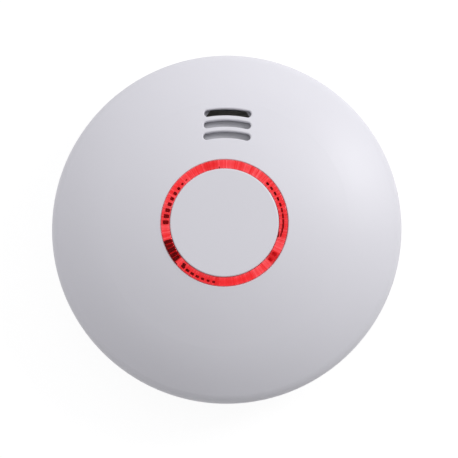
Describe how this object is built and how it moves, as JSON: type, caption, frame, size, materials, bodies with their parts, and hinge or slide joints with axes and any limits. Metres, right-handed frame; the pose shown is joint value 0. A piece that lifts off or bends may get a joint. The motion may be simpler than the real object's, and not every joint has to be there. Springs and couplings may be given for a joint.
{
  "type": "smoke detector",
  "caption": "Domed round smoke detector with a central test button in a red light ring, arc sound slots, a rim inlet and a twist-on ceiling bracket.",
  "frame": {"origin": "centre of the mounting bracket's ceiling face", "axes": "+Z out of the ceiling towards the room, along the dome's axis; +Y from the test button towards the sound slots; +X to the right of them, seen from the room"},
  "size_m": [0.12, 0.12, 0.038],
  "materials": {
    "white_housing": "fine moulded texture, satin",
    "white_button": "smooth satin",
    "red_light_guide": "clear red, polished, lit from below",
    "zinc_steel": "zinc plated",
    "spring_steel": "drawn wire",
    "cell_can": "bright can",
    "cell_sleeve": "shrunk film",
    "nickel_contact": "nickel plated",
    "green_board": "solder mask, satin",
    "solder": "bright solder",
    "black_package": "moulded epoxy",
    "capacitor_sleeve": "shrunk sleeve",
    "coil_winding": "sleeved winding",
    "bright_can": "drawn can",
    "chip_ceramic": "ceramic and tinned ends",
    "switch_cap": "moulded",
    "lamp_package": "white package with clear dome",
    "dark_clear_epoxy": "tinted clear epoxy",
    "tinned_sheet": "tin plated sheet",
    "black_chamber": "deep black, textured",
    "horn_plastic": "moulded, light grey",
    "brass_disc": "rolled brass",
    "piezo_white": "silvered ceramic",
    "seal_foam": "closed-cell foam",
    "label_film": "blank satin film"
  },
  "bodies": {
    "bracket": {"mounting_bracket": "white_housing"},
    "detector": {"base_housing": "white_housing", "door_hinge_pin": "zinc_steel", "battery_cell": "cell_can", "battery_sleeve": "cell_sleeve", "battery_contact_positive": "nickel_contact", "battery_contact_negative": "nickel_contact", "battery_spring": "nickel_contact", "main_pcb": "green_board", "solder_joints": "solder", "microcontroller": "black_package", "horn_driver_chip": "black_package", "electrolytic_capacitors": "capacitor_sleeve", "horn_coil": "coil_winding", "programming_header": "black_package", "crystal_resonator": "bright_can", "smd_components": "chip_ceramic", "test_switch_body": "black_package", "indicator_leds": "lamp_package", "pcb_screws": "zinc_steel", "infrared_emitter": "dark_clear_epoxy", "photodiode": "dark_clear_epoxy", "photodiode_shield": "tinned_sheet", "chamber_base": "black_chamber", "chamber_cap": "black_chamber", "insect_screen": "black_chamber", "horn_housing": "horn_plastic", "piezo_disc": "brass_disc", "piezo_ceramic": "piezo_white", "horn_springs": "nickel_contact", "horn_seal": "seal_foam", "horn_cap": "horn_plastic", "front_cover": "white_housing", "case_screws": "zinc_steel", "light_ring": "red_light_guide", "button_spring": "spring_steel", "rear_label": "label_film"},
    "door": {"battery_door": "white_housing"},
    "button": {"test_button": "white_button"},
    "switch_cap": {"test_switch_cap": "switch_cap"}
  },
  "joints": [
    {"name": "release_twist", "type": "hinge", "parent": "bracket", "child": "detector", "pos_m": [0, 0, 0], "axis": [0, 0, 1], "range_deg": [0, 16]},
    {"name": "battery_door_open", "type": "hinge", "parent": "detector", "child": "door", "pos_m": [0, -0.02, 0.0032], "axis": [1, 0, 0], "range_deg": [0, 100]},
    {"name": "test_press", "type": "slide", "parent": "detector", "child": "button", "axis": [0, 0, -1], "range_m": [0, 0.0005], "stiffness_N_per_m": 800, "springref_m": -0.001, "deforming": ["button_spring"]},
    {"name": "switch_press", "type": "slide", "parent": "detector", "child": "switch_cap", "axis": [0, 0, -1], "range_m": [0, 0.0005]}
  ],
  "couplings": [
    {"joint": "switch_press", "follows": "test_press", "ratio": 1}
  ]
}
